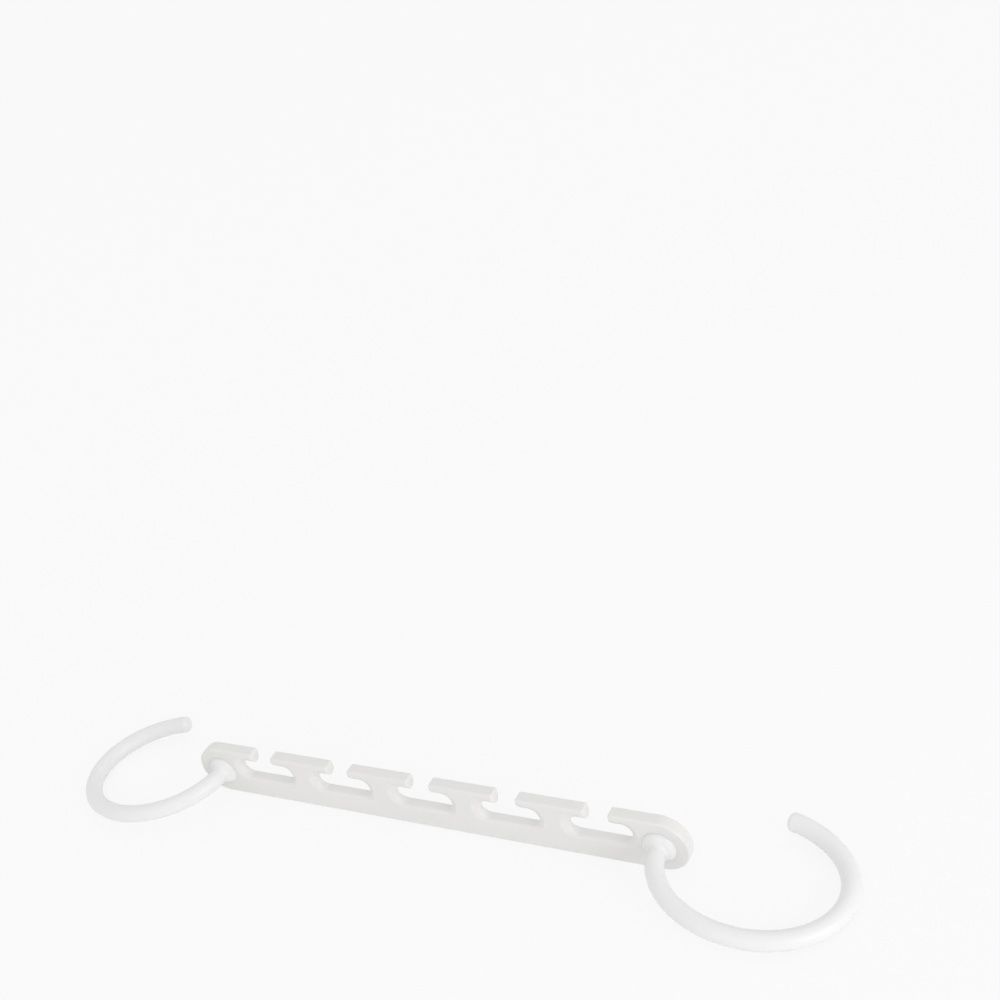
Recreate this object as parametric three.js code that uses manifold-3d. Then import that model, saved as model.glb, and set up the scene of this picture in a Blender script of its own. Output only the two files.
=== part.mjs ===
// Cascading clothes hanger: a flat slotted bar with a swivelling oval hook at each end.
// Millimetres, +Z up. X runs along the bar, the face that carries the hooks' collars looks along -Y,
// and the origin is the middle of the bar's bottom edge, on which the hanger stands.
import * as THREE from "three";
import { mergeVertices } from "three/addons/utils/BufferGeometryUtils.js";
import Module from "manifold-3d";

// Bar: a rail with a row of T-shaped heads, and a round-ended pocket between each two heads.
const SLOT_COUNT = 5;
const POCKET_WIDTH = 29.8;
const POCKET_HEIGHT = 9.7;
const STEM_WIDTH = 14.2;
const MOUTH_WIDTH = 11;
const RAIL_HEIGHT = 11.3;
const HEAD_HEIGHT = 5.8;
const BAR_THICKNESS = 6.2;
const EDGE_ROUND = 0.9;
const FACE_CORNER = 0.3; // left of a head's corner on the flat face, inside the rounded edge
const PIVOT_MARGIN = 12.1; // from the last pocket's end to the hook's pivot

// Hook: one moulding of an oval rod, a domed collar, a pivot pin and a split head that snaps in behind.
const ROD_DIAMETER = 8.4;
const HOOK_LENGTH = 80; // along the arm, on the rod's centre line
const HOOK_WIDTH = 66; // across the arm, on the rod's centre line
const HOOK_SWEEP_DEG = 257; // from the collar round to the tip
const TIP_HEIGHT = 2.4;
const COLLAR_DIAMETER = 15.6;
const COLLAR_RIM = 0.9;
const COLLAR_CROWN = 1.9;
const PIN_DIAMETER = 6;
const SNAP_LIP = 1.5; // how far the snap head reaches past the pin, all round
const SNAP_HEIGHT = 2.2;
const SLIT_WIDTH = 1.1;
const SLIT_DEPTH = 4.5; // into the pin, from under the snap head

const RUNNING_CLEARANCE = 0.3;
const REST_CLEARANCE = 0.3; // under a hook that has swung down towards the table

// Facets: round a whole circle of the pivot or of the rod, and along the other curves.
const PIVOT_SIDES = 24;
const ROD_SIDES = 16;
const ROD_STEPS = 40;
const END_STEPS = 24;
const POCKET_STEPS = 12;
const CORNER_STEPS = 3;
const DOME_STEPS = 5;
const EDGE_STEPS = 2;

const PALE_BAR = 0xe1e0de;
const PALE_HOOK = 0xe8e8e9;

// Places that follow from the sizes above.
const slotPitch = POCKET_WIDTH + STEM_WIDTH;
const barHeight = RAIL_HEIGHT + POCKET_HEIGHT + HEAD_HEIGHT;
const pivotX = ((SLOT_COUNT - 1) * slotPitch + POCKET_WIDTH) / 2 + PIVOT_MARGIN;
const pivotZ = barHeight / 2;
const rodRadius = ROD_DIAMETER / 2;
const pinRadius = PIN_DIAMETER / 2;
const seatY = BAR_THICKNESS / 2 + RUNNING_CLEARANCE; // collar in front and snap head behind, at this distance
const droop = Math.asin((pivotZ - rodRadius - REST_CLEARANCE) / HOOK_LENGTH);

const wasm = await Module();
wasm.setup();

function toSolid(geometry) {
  const bare = geometry.clone();
  bare.deleteAttribute("normal");
  bare.deleteAttribute("uv");
  const merged = mergeVertices(bare, 1e-4);
  const vertProperties = merged.attributes.position.array;
  const triVerts = new Uint32Array(merged.index.array);
  return new wasm.Manifold(new wasm.Mesh({ numProp: 3, vertProperties, triVerts }));
}

function toGeometry(solid) {
  const mesh = solid.getMesh();
  const geometry = new THREE.BufferGeometry();
  geometry.setAttribute("position", new THREE.BufferAttribute(mesh.vertProperties, 3));
  geometry.setIndex(new THREE.BufferAttribute(mesh.triVerts, 1));
  geometry.computeVertexNormals();
  return geometry;
}

// Points along an arc, from one angle to the other in degrees, both ends included.
function arc(x, y, radius, from, to, steps) {
  const points = [];
  for (let i = 0; i <= steps; i += 1) {
    const angle = THREE.MathUtils.degToRad(from + ((to - from) * i) / steps);
    points.push(new THREE.Vector2(x + radius * Math.cos(angle), y + radius * Math.sin(angle)));
  }
  return points;
}

// The notch of one slot, walked from the head on its right to the head on its left.
function slotOutline(middle) {
  const corner = EDGE_ROUND + FACE_CORNER;
  const ceiling = RAIL_HEIGHT + POCKET_HEIGHT;
  const endRadius = POCKET_HEIGHT / 2;
  const headEnd = MOUTH_WIDTH / 2 + corner;
  const pocketEnd = POCKET_WIDTH / 2 - endRadius;
  const pocketMiddle = RAIL_HEIGHT + endRadius;
  return [
    ...arc(middle + headEnd, barHeight - corner, corner, 90, 180, CORNER_STEPS),
    ...arc(middle + headEnd, ceiling + corner, corner, 180, 270, CORNER_STEPS),
    ...arc(middle + pocketEnd, pocketMiddle, endRadius, 90, -90, POCKET_STEPS),
    ...arc(middle - pocketEnd, pocketMiddle, endRadius, 270, 90, POCKET_STEPS),
    ...arc(middle - headEnd, ceiling + corner, corner, -90, 0, CORNER_STEPS),
    ...arc(middle - headEnd, barHeight - corner, corner, 0, 90, CORNER_STEPS),
  ];
}

// The bar's face outline, with half-round ends about the pivots and a bore through each.
function barGeometry() {
  const outline = arc(pivotX, pivotZ, barHeight / 2, -90, 90, END_STEPS);
  for (let i = SLOT_COUNT - 1; i >= 0; i -= 1) {
    outline.push(...slotOutline((i - (SLOT_COUNT - 1) / 2) * slotPitch));
  }
  outline.push(...arc(-pivotX, pivotZ, barHeight / 2, 90, 270, END_STEPS));
  const face = new THREE.Shape(outline);
  const boreRadius = pinRadius + RUNNING_CLEARANCE;
  for (const x of [-pivotX, pivotX]) {
    face.holes.push(new THREE.Path(arc(x, pivotZ, boreRadius, 0, 360, PIVOT_SIDES).slice(1)));
  }
  const depth = BAR_THICKNESS - 2 * EDGE_ROUND;
  const geometry = new THREE.ExtrudeGeometry(face, {
    depth,
    bevelThickness: EDGE_ROUND,
    bevelSize: EDGE_ROUND,
    bevelOffset: -EDGE_ROUND,
    bevelSegments: EDGE_STEPS,
  });
  return geometry.translate(0, 0, -depth / 2).rotateX(Math.PI / 2);
}

// The rod's centre line: an oval that leaves the collar along the pivot's axis and comes round behind.
class HookPath extends THREE.Curve {
  getPoint(t, target = new THREE.Vector3()) {
    const angle = THREE.MathUtils.degToRad(HOOK_SWEEP_DEG * t);
    const along = (HOOK_LENGTH / 2) * (1 - Math.cos(angle));
    const across = (HOOK_WIDTH / 2) * Math.sin(angle);
    return target.set(along, -(seatY + COLLAR_RIM) - across, 0);
  }
}

// A quarter of an oval as a profile, from the axis out to the rim or back from the rim to the axis.
function domeProfile(radius, base, height, outward) {
  const unit = arc(0, 0, 1, 0, 90, DOME_STEPS);
  const quarter = unit.map((p) => new THREE.Vector2(radius * p.x, base + height * p.y));
  return outward ? quarter.reverse() : quarter;
}

function pivotSolid() {
  const profile = [
    ...domeProfile(COLLAR_DIAMETER / 2, -(seatY + COLLAR_RIM), -COLLAR_CROWN, true),
    new THREE.Vector2(COLLAR_DIAMETER / 2, -seatY),
    new THREE.Vector2(pinRadius, -seatY),
    new THREE.Vector2(pinRadius, seatY),
    ...domeProfile(pinRadius + SNAP_LIP, seatY, SNAP_HEIGHT, false),
  ];
  profile[0].x = 0;
  profile[profile.length - 1].x = 0;
  const slitLength = SLIT_DEPTH + 2 * SNAP_HEIGHT;
  const slit = new THREE.BoxGeometry(SLIT_WIDTH, slitLength, 2 * COLLAR_DIAMETER);
  slit.translate(0, seatY - SLIT_DEPTH + slitLength / 2, 0);
  return toSolid(new THREE.LatheGeometry(profile, PIVOT_SIDES)).subtract(toSolid(slit));
}

function rodSolid() {
  const path = new HookPath();
  const section = new THREE.Shape(arc(0, 0, rodRadius, 0, 360, ROD_SIDES).slice(1));
  const rod = new THREE.ExtrudeGeometry(section, { extrudePath: path, steps: ROD_STEPS });
  const end = path.getPoint(1);
  const heading = path.getTangent(1);
  const sink = rodRadius / 2; // the tip's straight skirt, inside the rod
  const profile = [
    new THREE.Vector2(0, -sink),
    new THREE.Vector2(rodRadius, -sink),
    ...domeProfile(rodRadius, 0, TIP_HEIGHT, false),
  ];
  profile[profile.length - 1].x = 0;
  const tip = new THREE.LatheGeometry(profile, ROD_SIDES);
  const turn = new THREE.Quaternion().setFromUnitVectors(new THREE.Vector3(0, 1, 0), heading);
  tip.applyQuaternion(turn).translate(end.x, end.y, end.z);
  return toSolid(rod).add(toSolid(tip));
}

function hookGeometry() {
  return toGeometry(pivotSolid().add(rodSolid()));
}

function piece(name, geometry, color, roughness) {
  const mesh = new THREE.Mesh(geometry, new THREE.MeshStandardMaterial({ color, roughness, metalness: 0 }));
  mesh.name = name;
  return mesh;
}

const hanger = new THREE.Group();
hanger.add(piece("bar", barGeometry(), PALE_BAR, 0.55));

// Both hooks are the same moulding: the left one is turned half round about its pivot.
const rightHook = piece("right_hook", hookGeometry(), PALE_HOOK, 0.4);
rightHook.position.set(pivotX, 0, pivotZ);
rightHook.rotation.y = droop;
hanger.add(rightHook);

const leftHook = piece("left_hook", hookGeometry(), PALE_HOOK, 0.4);
leftHook.position.set(-pivotX, 0, pivotZ);
leftHook.rotation.y = Math.PI - droop;
hanger.add(leftHook);

export default hanger;
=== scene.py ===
# A cascading clothes hanger: one slotted bar with an open oval hook that swivels at each end.
# Metres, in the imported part's frame: +X along the bar, -Y the face with the collars, +Z up.
import math

import bmesh
import bpy
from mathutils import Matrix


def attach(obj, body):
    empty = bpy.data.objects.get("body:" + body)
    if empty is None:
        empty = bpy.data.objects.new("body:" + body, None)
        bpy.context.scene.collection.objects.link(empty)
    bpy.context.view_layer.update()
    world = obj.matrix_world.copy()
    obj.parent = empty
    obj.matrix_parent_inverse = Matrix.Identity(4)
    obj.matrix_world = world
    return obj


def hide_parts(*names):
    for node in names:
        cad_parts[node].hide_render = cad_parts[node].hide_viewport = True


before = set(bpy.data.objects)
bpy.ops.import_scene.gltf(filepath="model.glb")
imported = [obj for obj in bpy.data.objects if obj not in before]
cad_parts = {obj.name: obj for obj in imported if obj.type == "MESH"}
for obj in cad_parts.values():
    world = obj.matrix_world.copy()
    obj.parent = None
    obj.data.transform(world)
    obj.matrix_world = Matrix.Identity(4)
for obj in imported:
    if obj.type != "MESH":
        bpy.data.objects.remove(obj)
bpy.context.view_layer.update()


# Bar: one flat moulding in white polypropylene, a rail with T-shaped heads over round-ended pockets.
# It is pressed out of a two-part mould, so both faces are flat and every edge is rounded. The pockets,
# which a hanger's hook slides into, flare out towards both faces. A bore at each end takes a hook's pin.
SLOT_COUNT = 5
SLOT_PITCH = 0.044
SLOT_MIDDLES = [SLOT_PITCH * (i - (SLOT_COUNT - 1) / 2) for i in range(SLOT_COUNT)]
POCKET_WIDTH = 0.0298
POCKET_HEIGHT = 0.0097
MOUTH_WIDTH = 0.011
RAIL_HEIGHT = 0.0113
HEAD_HEIGHT = 0.0058
CEILING = RAIL_HEIGHT + POCKET_HEIGHT
POCKET_MIDDLE = (RAIL_HEIGHT + CEILING) / 2
BAR_HEIGHT = CEILING + HEAD_HEIGHT
BAR_THICKNESS = 0.0062
FACE_Y = BAR_THICKNESS / 2
PIVOT_X = 0.115
PIVOT_Z = BAR_HEIGHT / 2
BORE_RADIUS = 0.0033
HEAD_CORNER = 0.0012
EDGE_ROUND = 0.0009
BORE_EDGE = 0.0004
BORE_ZONE = 1.2 * BORE_RADIUS  # an edge nearer than this to a pivot belongs to its bore
END_FLARE = 0.0031  # reach of the flares at the face, at a pocket's ends, ceiling and floor
CEILING_FLARE = 0.0032
FLOOR_FLARE = 0.0015
FLARE_SLOPE = 1.8  # how fast the reach shrinks with depth below the face
FLARE_SOFTNESS = 0.0004  # rounds a flare where it runs into the pocket's wall
FLARE_DEPTH = 0.0024
FLARE_OVERRUN = 0.0003  # how far the flares are carried on past the face
FLARE_STEPS = 14
END_SEGMENTS = 40
POCKET_SEGMENTS = 28
CORNER_SEGMENTS = 6
EDGE_SEGMENTS = 6
BORE_SIDES = 48
ROUND_PROFILE = 0.5
MERGE_DISTANCE = 1e-6
CORNER_TOLERANCE = 1e-5
WALL_LIMIT = 0.5  # a face whose normal has less of Y than this is a wall between the two flat faces
BAR_SMOOTH_ANGLE = math.radians(25)
FLAT_FACE_WEIGHT = 100


def add_block(name, low, high):
    """A cube stretched between two corners, as an object of its own with its place in its mesh."""
    bpy.ops.object.select_all(action="DESELECT")
    middle = [(a + b) / 2 for a, b in zip(low, high)]
    size = [b - a for a, b in zip(low, high)]
    bpy.ops.mesh.primitive_cube_add(size=1, location=middle, scale=size)
    bpy.ops.object.transform_apply(location=True, rotation=True, scale=True)
    block = bpy.context.object
    block.name = name
    return block


def round_edges_along_y(block, radius, segments, wanted):
    """Rounds those edges that run along Y and whose x and z pass the test."""
    bpy.ops.object.mode_set(mode="EDIT")
    bpy.ops.mesh.select_mode(type="EDGE")
    bpy.ops.mesh.select_all(action="DESELECT")
    mesh = bmesh.from_edit_mesh(block.data)
    for edge in mesh.edges:
        a, b = (v.co for v in edge.verts)
        along_y = abs(a.x - b.x) < MERGE_DISTANCE and abs(a.z - b.z) < MERGE_DISTANCE
        if along_y and wanted(a.x, a.z):
            edge.select_set(True)
    bmesh.update_edit_mesh(block.data)
    bpy.ops.mesh.bevel(offset=radius, segments=segments, profile=ROUND_PROFILE, affect="EDGES")
    bpy.ops.mesh.select_all(action="SELECT")
    bpy.ops.mesh.remove_doubles(threshold=MERGE_DISTANCE)
    bpy.ops.object.mode_set(mode="OBJECT")


def cut_away(piece, tool):
    """Cuts a tool's shape out of a piece, and deletes the tool."""
    bpy.ops.object.select_all(action="DESELECT")
    bpy.context.view_layer.objects.active = piece
    piece.select_set(True)
    cut = piece.modifiers.new("cut", "BOOLEAN")
    cut.operation = "DIFFERENCE"
    cut.solver = "EXACT"
    cut.object = tool
    bpy.ops.object.modifier_apply(modifier=cut.name)
    bpy.data.objects.remove(tool)


def flare_at(depth, reach):
    """How far a flare stands out from the pocket's wall at a depth, by its reach at the face."""
    left = reach - FLARE_SLOPE * depth
    return (left + math.hypot(left, FLARE_SOFTNESS)) / 2


def add_pocket_tool(middle):
    """One pocket as a solid: round-ended, and flared out towards both faces, least at its floor."""
    half_flat = FACE_Y - FLARE_DEPTH
    low = (middle - POCKET_WIDTH / 2, -half_flat, RAIL_HEIGHT)
    high = (middle + POCKET_WIDTH / 2, half_flat, CEILING)
    pocket = add_block("pocket", low, high)
    round_edges_along_y(pocket, POCKET_HEIGHT / 2, POCKET_SEGMENTS, lambda x, z: True)
    bpy.ops.object.mode_set(mode="EDIT")
    bpy.ops.mesh.select_mode(type="FACE")
    for side in (-1, 1):
        bpy.ops.mesh.select_all(action="DESELECT")
        mesh = bmesh.from_edit_mesh(pocket.data)
        for face in mesh.faces:
            face.select_set(all(abs(v.co.y - side * half_flat) < MERGE_DISTANCE for v in face.verts))
        bmesh.update_edit_mesh(pocket.data)
        width, height, y, centre = POCKET_WIDTH, POCKET_HEIGHT, half_flat, POCKET_MIDDLE
        for step in range(1, FLARE_STEPS + 1):
            depth = FLARE_DEPTH - (FLARE_DEPTH + FLARE_OVERRUN) * step / FLARE_STEPS
            floor = RAIL_HEIGHT - flare_at(depth, FLOOR_FLARE)
            ceiling = CEILING + flare_at(depth, CEILING_FLARE)
            next_width = POCKET_WIDTH + 2 * flare_at(depth, END_FLARE)
            next_height = ceiling - floor
            next_centre = (floor + ceiling) / 2
            next_y = FACE_Y - depth
            move = (0, side * (next_y - y), next_centre - centre)
            growth = (next_width / width, 1, next_height / height)
            bpy.ops.mesh.extrude_region_move(TRANSFORM_OT_translate={"value": move})
            bpy.ops.transform.resize(value=growth, center_override=(middle, 0, next_centre))
            width, height, y, centre = next_width, next_height, next_y, next_centre
        bpy.ops.mesh.extrude_region_move(TRANSFORM_OT_translate={"value": (0, side * BAR_THICKNESS, 0)})
    bpy.ops.object.mode_set(mode="OBJECT")
    return pocket


def is_head_corner(x, z):
    """Whether an edge along Y is the upper corner of a head, at a slot's mouth."""
    from_middles = [abs(x - middle) for middle in SLOT_MIDDLES]
    beside_mouth = any(abs(away - MOUTH_WIDTH / 2) < CORNER_TOLERANCE for away in from_middles)
    return beside_mouth and z > BAR_HEIGHT - CORNER_TOLERANCE


def edge_round_at(x, z):
    """How much an edge of the face is rounded, by its place: least round the bores."""
    at_bore = math.hypot(abs(x) - PIVOT_X, z - PIVOT_Z) < BORE_ZONE
    return BORE_EDGE if at_bore else EDGE_ROUND


def round_face_edges(piece):
    """Rounds the edges of both faces with a bevel whose width follows their place."""
    edge_weight = piece.data.attributes.new("bevel_weight_edge", "FLOAT", "EDGE")
    corners = piece.data.vertices
    wall_edges = set()
    for face in piece.data.polygons:
        if abs(face.normal.y) < WALL_LIMIT:
            wall_edges.update(face.edge_keys)
    for edge in piece.data.edges:
        a, b = (corners[i].co for i in edge.vertices)
        on_face = abs(abs(a.y) - FACE_Y) < MERGE_DISTANCE and abs(a.y - b.y) < MERGE_DISTANCE
        if on_face and edge.key in wall_edges:
            width = edge_round_at((a.x + b.x) / 2, (a.z + b.z) / 2)
            edge_weight.data[edge.index].value = width / EDGE_ROUND
    rounding = piece.modifiers.new("edges", "BEVEL")
    rounding.limit_method = "WEIGHT"
    rounding.width = EDGE_ROUND
    rounding.segments = EDGE_SEGMENTS
    rounding.use_clamp_overlap = False
    bpy.ops.object.modifier_apply(modifier=rounding.name)


half_length = PIVOT_X + BAR_HEIGHT / 2
bar = add_block("hanger_bar", (-half_length, -FACE_Y, 0), (half_length, FACE_Y, BAR_HEIGHT))
round_edges_along_y(bar, BAR_HEIGHT / 2, END_SEGMENTS, lambda x, z: True)
for middle in SLOT_MIDDLES:
    low = (middle - MOUTH_WIDTH / 2, -BAR_THICKNESS, POCKET_MIDDLE)
    high = (middle + MOUTH_WIDTH / 2, BAR_THICKNESS, BAR_HEIGHT + BAR_THICKNESS)
    cut_away(bar, add_block("mouth", low, high))
for x in (-PIVOT_X, PIVOT_X):
    bpy.ops.object.select_all(action="DESELECT")
    bpy.ops.mesh.primitive_cylinder_add(
        vertices=BORE_SIDES, radius=BORE_RADIUS, depth=2 * BAR_THICKNESS,
        location=(x, 0, PIVOT_Z), rotation=(math.pi / 2, 0, 0))
    cut_away(bar, bpy.context.object)
round_edges_along_y(bar, HEAD_CORNER, CORNER_SEGMENTS, is_head_corner)
round_face_edges(bar)
for middle in SLOT_MIDDLES:
    cut_away(bar, add_pocket_tool(middle))
bpy.ops.object.shade_smooth_by_angle(angle=BAR_SMOOTH_ANGLE)
shading = bar.modifiers.new("flat faces", "WEIGHTED_NORMAL")
shading.weight = FLAT_FACE_WEIGHT
shading.keep_sharp = True
bpy.ops.object.modifier_apply(modifier=shading.name)

CLOUD_SCALE = 55
CLOUD_DETAIL = 3
FLOW_STRETCH = (25, 240, 240)
FLOW_DETAIL = 2
FLOW_SHARE = 0.4
GRAIN_SCALE = 1500
GRAIN_DETAIL = 2
GRAIN_STRENGTH = 0.35
GLOSS_SPAN = (0.3, 0.7)  # the part of the grain's range that goes from low to high gloss
PLASTIC_IOR = 1.49
SCATTER_RADIUS = (1, 0.97, 0.93)
SCATTER_DEPTH = 0.0015
COLOUR_A, COLOUR_B, COLOUR_RESULT = 6, 7, 2  # a Mix node's colour sockets, whose names others share


def add_noise(nodes, scale, detail):
    """A noise texture of a given scale and number of finer layers."""
    noise = nodes.new("ShaderNodeTexNoise")
    noise.inputs["Scale"].default_value = scale
    noise.inputs["Detail"].default_value = detail
    return noise


def make_skin_group():
    """The skin of moulded plastic: cloudy tone, faint flow along the part, and a fine satin grain."""
    group = bpy.data.node_groups.new("moulded skin", "ShaderNodeTree")
    given_sockets = {
        "Place": "NodeSocketVector", "Light tone": "NodeSocketColor", "Deep tone": "NodeSocketColor",
        "Gloss low": "NodeSocketFloat", "Gloss high": "NodeSocketFloat"}
    result_sockets = {"Tone": "NodeSocketColor", "Roughness": "NodeSocketFloat", "Grain": "NodeSocketFloat"}
    for name, kind in given_sockets.items():
        group.interface.new_socket(name, in_out="INPUT", socket_type=kind)
    for name, kind in result_sockets.items():
        group.interface.new_socket(name, in_out="OUTPUT", socket_type=kind)
    nodes, links = group.nodes, group.links
    given = nodes.new("NodeGroupInput")
    result = nodes.new("NodeGroupOutput")

    cloud = add_noise(nodes, CLOUD_SCALE, CLOUD_DETAIL)
    links.new(given.outputs["Place"], cloud.inputs["Vector"])
    stretch = nodes.new("ShaderNodeMapping")
    stretch.inputs["Scale"].default_value = FLOW_STRETCH
    links.new(given.outputs["Place"], stretch.inputs["Vector"])
    flow = add_noise(nodes, 1, FLOW_DETAIL)
    links.new(stretch.outputs["Vector"], flow.inputs["Vector"])
    both = nodes.new("ShaderNodeMix")
    both.data_type = "FLOAT"
    both.inputs["Factor"].default_value = FLOW_SHARE
    links.new(cloud.outputs["Fac"], both.inputs["A"])
    links.new(flow.outputs["Fac"], both.inputs["B"])
    tone = nodes.new("ShaderNodeMix")
    tone.data_type = "RGBA"
    links.new(both.outputs["Result"], tone.inputs["Factor"])
    links.new(given.outputs["Deep tone"], tone.inputs[COLOUR_A])
    links.new(given.outputs["Light tone"], tone.inputs[COLOUR_B])
    links.new(tone.outputs[COLOUR_RESULT], result.inputs["Tone"])

    grain = add_noise(nodes, GRAIN_SCALE, GRAIN_DETAIL)
    links.new(given.outputs["Place"], grain.inputs["Vector"])
    links.new(grain.outputs["Fac"], result.inputs["Grain"])
    gloss = nodes.new("ShaderNodeMapRange")
    gloss.inputs["From Min"].default_value, gloss.inputs["From Max"].default_value = GLOSS_SPAN
    links.new(grain.outputs["Fac"], gloss.inputs["Value"])
    links.new(given.outputs["Gloss low"], gloss.inputs["To Min"])
    links.new(given.outputs["Gloss high"], gloss.inputs["To Max"])
    links.new(gloss.outputs["Result"], result.inputs["Roughness"])
    return group


skin_group = make_skin_group()


def make_plastic(name, light_tone, deep_tone, gloss, grain_depth, translucency):
    """White moulded plastic, slightly translucent, with its own tones, gloss and depth of grain."""
    material = bpy.data.materials.new(name)
    material.use_nodes = True
    nodes, links = material.node_tree.nodes, material.node_tree.links
    shader = nodes["Principled BSDF"]
    place = nodes.new("ShaderNodeTexCoord")
    skin = nodes.new("ShaderNodeGroup")
    skin.node_tree = skin_group
    skin.inputs["Light tone"].default_value = (*light_tone, 1)
    skin.inputs["Deep tone"].default_value = (*deep_tone, 1)
    skin.inputs["Gloss low"].default_value, skin.inputs["Gloss high"].default_value = gloss
    bump = nodes.new("ShaderNodeBump")
    bump.inputs["Strength"].default_value = GRAIN_STRENGTH
    bump.inputs["Distance"].default_value = grain_depth
    links.new(place.outputs["Object"], skin.inputs["Place"])
    links.new(skin.outputs["Tone"], shader.inputs["Base Color"])
    links.new(skin.outputs["Roughness"], shader.inputs["Roughness"])
    links.new(skin.outputs["Grain"], bump.inputs["Height"])
    links.new(bump.outputs["Normal"], shader.inputs["Normal"])
    shader.inputs["IOR"].default_value = PLASTIC_IOR
    shader.inputs["Subsurface Weight"].default_value = translucency
    shader.inputs["Subsurface Radius"].default_value = SCATTER_RADIUS
    shader.inputs["Subsurface Scale"].default_value = SCATTER_DEPTH
    return material


bar_plastic = make_plastic(
    "bar plastic", light_tone=(0.807, 0.801, 0.787), deep_tone=(0.767, 0.761, 0.747),
    gloss=(0.3, 0.4), grain_depth=0.00003, translucency=0.25)
bar.data.materials.clear()
bar.data.materials.append(bar_plastic)
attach(bar, "bar")
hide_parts("bar")


# Hooks: two mouldings alike in whiter, glossier polypropylene, an oval rod that grows out of a low collar.
# A pin behind the collar goes through the bar and ends in a split head, which snaps in and holds the hook.
# The left one is turned half round, and both have swung down towards the table.
ROD_RADIUS = 0.00415
HALF_LENGTH = 0.040
HALF_WIDTH = 0.033
SWEEP = math.radians(257)
TIP_HEIGHT = 0.0024
COLLAR_RADIUS = 0.0078
COLLAR_RIM = 0.00005
CROWN_ROUND = 0.0072
CROWN_SLOPE = math.radians(55)  # of the collar's crown, where it leaves the rim
ROOT_FILLET = 0.0013
PIN_RADIUS = 0.003
SNAP_RADIUS = 0.0045
SNAP_HEIGHT = 0.00245
SLIT_WIDTH = 0.0011
SLIT_DEPTH = 0.0045
SEAT_GAP = 0.00002
SEAT = FACE_Y + SEAT_GAP  # collar in front and snap head behind, at this distance
OVAL_RISE = 0.00115
OVAL_START = SEAT + OVAL_RISE
FAR_END_DROP = 0.0089
DROOP = math.asin(FAR_END_DROP / (2 * HALF_LENGTH))
END_CAP = math.radians(10)  # kept flat round the axis, at the snap head's top and at the tip
RING_SIDES = 56
SNAP_STEPS = 7
CROWN_STEPS = 8
FILLET_STEPS = 6
ROD_STEPS = 128
TIP_STEPS = 8
HOOK_SMOOTH_ANGLE = math.radians(32)


def rod_place(angle):
    """Centre and heading of the rod, by the angle round its oval from the collar."""
    x = HALF_LENGTH * (1 - math.cos(angle))
    y = -OVAL_START - HALF_WIDTH * math.sin(angle)
    heading = math.atan2(-HALF_WIDTH * math.cos(angle), HALF_LENGTH * math.sin(angle))
    return x, y, heading


def oval_angle(depth):
    """The angle round the oval at which the rod's centre has come to a depth in front of the bar."""
    return math.asin((depth - OVAL_START) / HALF_WIDTH)


def curve_point(t, start, corner, end):
    """A place on the curve that leaves its start towards a corner and bends round to its end."""
    return [a * (1 - t) ** 2 + 2 * b * t * (1 - t) + c * t * t for a, b, c in zip(start, corner, end)]


def hook_rings():
    """Rings from the snap head round to the tip, each as its centre, heading and radius."""
    forward = -math.pi / 2
    rings = []
    for step in range(SNAP_STEPS + 1):
        turn = END_CAP + (math.pi / 2 - END_CAP) * step / SNAP_STEPS
        rings.append((0, SEAT + SNAP_HEIGHT * math.cos(turn), forward, SNAP_RADIUS * math.sin(turn)))
    rings.append((0, SEAT, forward, PIN_RADIUS))
    rings.append((0, -SEAT, forward, PIN_RADIUS))
    rings.append((0, -SEAT, forward, COLLAR_RADIUS))

    crown_width = COLLAR_RADIUS - ROD_RADIUS - ROOT_FILLET
    root_slope = math.asin(math.sin(CROWN_SLOPE) - crown_width / CROWN_ROUND)
    for step in range(CROWN_STEPS + 1):
        slope = CROWN_SLOPE + (root_slope - CROWN_SLOPE) * step / CROWN_STEPS
        y = -SEAT - COLLAR_RIM - CROWN_ROUND * (math.cos(slope) - math.cos(CROWN_SLOPE))
        radius = COLLAR_RADIUS - CROWN_ROUND * (math.sin(CROWN_SLOPE) - math.sin(slope))
        rings.append((0, y, forward, radius))
    crown_top = (radius, -y)
    corner = (ROD_RADIUS, -y + math.tan(root_slope) * ROOT_FILLET)
    rod_start = (ROD_RADIUS, corner[1] + ROOT_FILLET)
    for step in range(1, FILLET_STEPS + 1):
        radius, depth = curve_point(step / FILLET_STEPS, crown_top, corner, rod_start)
        rings.append((*rod_place(oval_angle(depth)), radius))

    first = oval_angle(rod_start[1])
    for step in range(1, ROD_STEPS + 1):
        rings.append((*rod_place(first + (SWEEP - first) * step / ROD_STEPS), ROD_RADIUS))
    x, y, heading = rod_place(SWEEP)
    for step in range(1, TIP_STEPS + 1):
        turn = (math.pi / 2 - END_CAP) * step / TIP_STEPS
        reach = TIP_HEIGHT * math.sin(turn)
        centre = (x + reach * math.cos(heading), y + reach * math.sin(heading))
        rings.append((*centre, heading, ROD_RADIUS * math.cos(turn)))
    return rings


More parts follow.
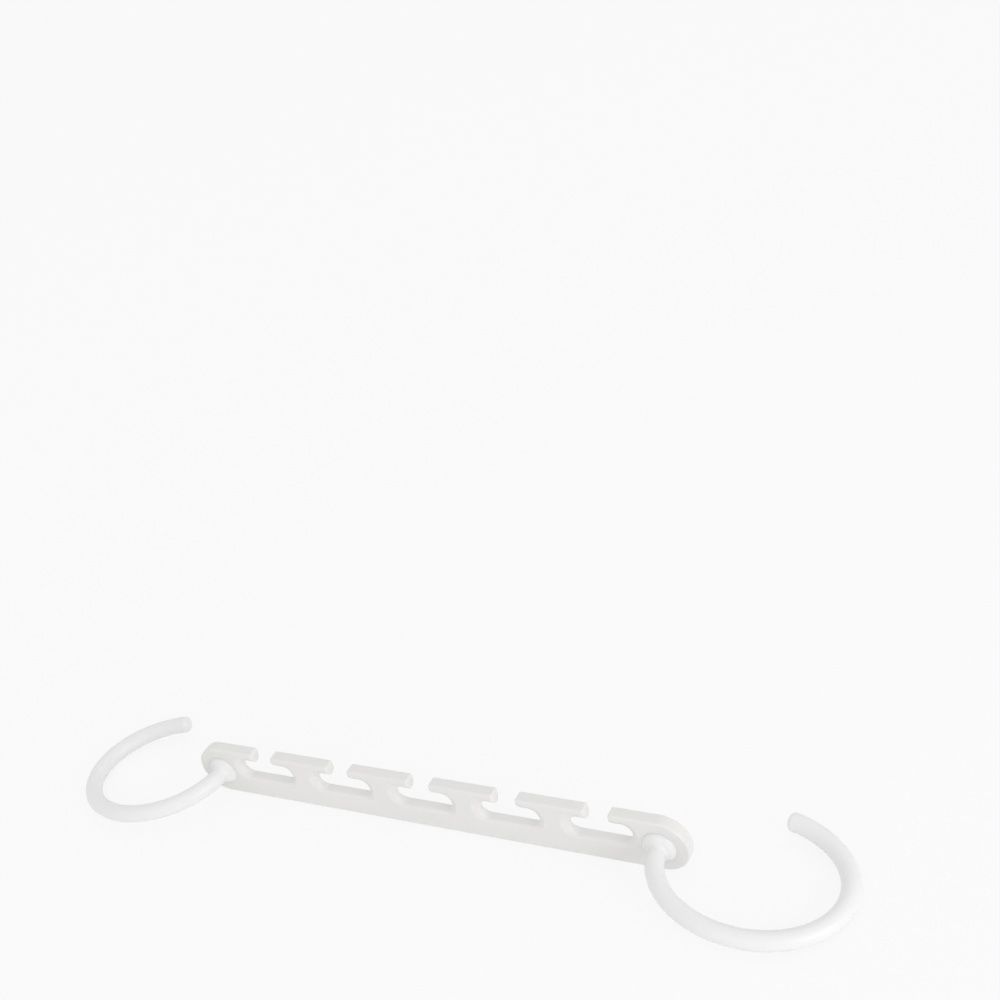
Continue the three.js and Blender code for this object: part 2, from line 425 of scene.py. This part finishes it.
def add_swept_rod(name, rings):
    """Draws a circle out from ring to ring, and closes both ends."""
    bpy.ops.object.select_all(action="DESELECT")
    x, y, heading, radius = rings[0]
    bpy.ops.mesh.primitive_circle_add(
        vertices=RING_SIDES, radius=radius, fill_type="NGON",
        location=(x, y, 0), rotation=(math.pi / 2, 0, 0))
    bpy.ops.object.transform_apply(location=True, rotation=True, scale=True)
    rod = bpy.context.object
    rod.name = name
    bpy.ops.object.mode_set(mode="EDIT")
    bpy.ops.mesh.select_mode(type="EDGE")
    bpy.ops.mesh.select_all(action="SELECT")
    for (last_x, last_y, last_heading, last_radius), (x, y, heading, radius) in zip(rings, rings[1:]):
        move = (x - last_x, y - last_y, 0)
        growth = radius / last_radius
        turn = last_heading - heading  # with no window, rotate turns the other way
        bpy.ops.mesh.extrude_region_move(TRANSFORM_OT_translate={"value": move})
        bpy.ops.transform.resize(value=(growth, growth, growth), center_override=(x, y, 0))
        bpy.ops.transform.rotate(value=turn, orient_axis="Z", center_override=(x, y, 0))
    bpy.ops.mesh.select_all(action="SELECT")
    bpy.ops.mesh.normals_make_consistent(inside=False)
    bpy.ops.object.mode_set(mode="OBJECT")
    return rod


right_hook = add_swept_rod("right_swivel_hook", hook_rings())
slit_low = (-SLIT_WIDTH / 2, SEAT - SLIT_DEPTH, -COLLAR_RADIUS)
slit_high = (SLIT_WIDTH / 2, SEAT + 2 * SNAP_HEIGHT, COLLAR_RADIUS)
cut_away(right_hook, add_block("slit", slit_low, slit_high))
bpy.ops.object.shade_smooth_by_angle(angle=HOOK_SMOOTH_ANGLE)
bpy.ops.object.duplicate()
left_hook = bpy.context.object
left_hook.name = "left_swivel_hook"

hook_plastic = make_plastic(
    "hook plastic", light_tone=(0.84, 0.84, 0.84), deep_tone=(0.81, 0.81, 0.81),
    gloss=(0.3, 0.38), grain_depth=0.00002, translucency=0.25)
for hook, body, x, turn in (
        (right_hook, "right_hook", PIVOT_X, DROOP), (left_hook, "left_hook", -PIVOT_X, math.pi - DROOP)):
    bpy.ops.object.select_all(action="DESELECT")
    bpy.context.view_layer.objects.active = hook
    hook.select_set(True)
    hook.location = (x, 0, PIVOT_Z)
    hook.rotation_euler = (0, turn, 0)
    bpy.ops.object.transform_apply(location=True, rotation=True, scale=True)
    hook.data.materials.clear()
    hook.data.materials.append(hook_plastic)
    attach(hook, body)
    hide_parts(body)


# Studio: a white table that runs out past the picture, in an evenly lit white room with two soft lamps.
# The stronger lamp stands on the right, a weaker one in front. The table shows as the pale paper tone,
# with only a trace of the hanger's shadow on it.
BACKDROP_TONE = 0.945
PAPER_TONE = 0.972
TABLE_TONE = 0.92
TABLE_SIZE = 12
SHADOW_SHARE = 0.16
ROOM_LIGHT = 0.87
TABLE_GLOW = 0.05
RIGHT_LAMP = {"place": (1.45, -0.56, 0.5), "size": 1.0, "power": 6.2}
FRONT_LAMP = {"place": (0.15, -2.2, 1.05), "size": 1.5, "power": 1.8}

bpy.ops.object.select_all(action="DESELECT")
bpy.ops.mesh.primitive_plane_add(size=TABLE_SIZE, location=(0, 0, 0))
table = bpy.context.object
table.name = "table_top"
paper = bpy.data.materials.new("white table")
paper.use_nodes = True
paper_nodes, paper_links = paper.node_tree.nodes, paper.node_tree.links
paper_nodes.clear()


def grey(tone):
    """A tone as a colour without a tint."""
    return (tone, tone, tone, 1)


def seen_directly(nodes, links):
    """A mask of rays that show the table itself: straight to the camera, mirrored or let through."""
    rays = nodes.new("ShaderNodeLightPath")
    first = nodes.new("ShaderNodeMath")
    first.operation = "MAXIMUM"
    second = nodes.new("ShaderNodeMath")
    second.operation = "MAXIMUM"
    links.new(rays.outputs["Is Camera Ray"], first.inputs[0])
    links.new(rays.outputs["Is Glossy Ray"], first.inputs[1])
    links.new(first.outputs[0], second.inputs[0])
    links.new(rays.outputs["Is Transmission Ray"], second.inputs[1])
    return second.outputs[0]


lit = paper_nodes.new("ShaderNodeBsdfDiffuse")
lit.inputs["Color"].default_value = grey(TABLE_TONE)
glow = paper_nodes.new("ShaderNodeEmission")
glow.inputs["Strength"].default_value = TABLE_GLOW
lit_table = paper_nodes.new("ShaderNodeAddShader")
paper_links.new(lit.outputs[0], lit_table.inputs[0])
paper_links.new(glow.outputs[0], lit_table.inputs[1])
bright = paper_nodes.new("ShaderNodeEmission")
bright.inputs["Color"].default_value = grey(PAPER_TONE)
shown_table = paper_nodes.new("ShaderNodeMixShader")
shown_table.inputs["Fac"].default_value = SHADOW_SHARE
paper_links.new(bright.outputs[0], shown_table.inputs[1])
paper_links.new(lit.outputs[0], shown_table.inputs[2])
table_mix = paper_nodes.new("ShaderNodeMixShader")
paper_links.new(seen_directly(paper_nodes, paper_links), table_mix.inputs["Fac"])
paper_links.new(lit_table.outputs[0], table_mix.inputs[1])
paper_links.new(shown_table.outputs[0], table_mix.inputs[2])
paper_out = paper_nodes.new("ShaderNodeOutputMaterial")
paper_links.new(table_mix.outputs[0], paper_out.inputs["Surface"])
table.data.materials.append(paper)

room = bpy.data.worlds.new("studio room")
room.use_nodes = True
room_nodes, room_links = room.node_tree.nodes, room.node_tree.links
room_nodes.clear()
soft = room_nodes.new("ShaderNodeBackground")
soft.inputs["Color"].default_value = grey(1)
soft.inputs["Strength"].default_value = ROOM_LIGHT
plain = room_nodes.new("ShaderNodeBackground")
plain.inputs["Color"].default_value = grey(BACKDROP_TONE)
room_rays = room_nodes.new("ShaderNodeLightPath")
room_mix = room_nodes.new("ShaderNodeMixShader")
room_links.new(room_rays.outputs["Is Camera Ray"], room_mix.inputs["Fac"])
room_links.new(soft.outputs[0], room_mix.inputs[1])
room_links.new(plain.outputs[0], room_mix.inputs[2])
room_out = room_nodes.new("ShaderNodeOutputWorld")
room_links.new(room_mix.outputs[0], room_out.inputs["Surface"])
bpy.context.scene.world = room

for given in (RIGHT_LAMP, FRONT_LAMP):
    bpy.ops.object.light_add(type="AREA", location=given["place"])
    lamp = bpy.context.object
    lamp.data.shape = "DISK"
    lamp.data.size = given["size"]
    lamp.data.energy = given["power"]
    lamp.rotation_euler = lamp.location.to_track_quat("Z", "Y").to_euler()


# Camera: to the right of the hanger, in front of it and above, tilted with the picture.
# Its place in metres, its turn in degrees and its lens in millimetres were fitted to the bar and the hooks.
CAMERA_PLACE = (0.32589, -0.38304, 0.45159)
CAMERA_TURN = (58.6689, 12.6102, 25.1083)
CAMERA_LENS = 51.229
SENSOR_WIDTH = 36
NEAREST, FARTHEST = 0.01, 100

bpy.ops.object.camera_add(location=CAMERA_PLACE, rotation=[math.radians(a) for a in CAMERA_TURN])
camera = bpy.context.object
camera.data.lens = CAMERA_LENS
camera.data.sensor_width = SENSOR_WIDTH
camera.data.clip_start = NEAREST
camera.data.clip_end = FARTHEST
bpy.context.scene.camera = camera
bpy.context.scene.view_settings.view_transform = "Standard"
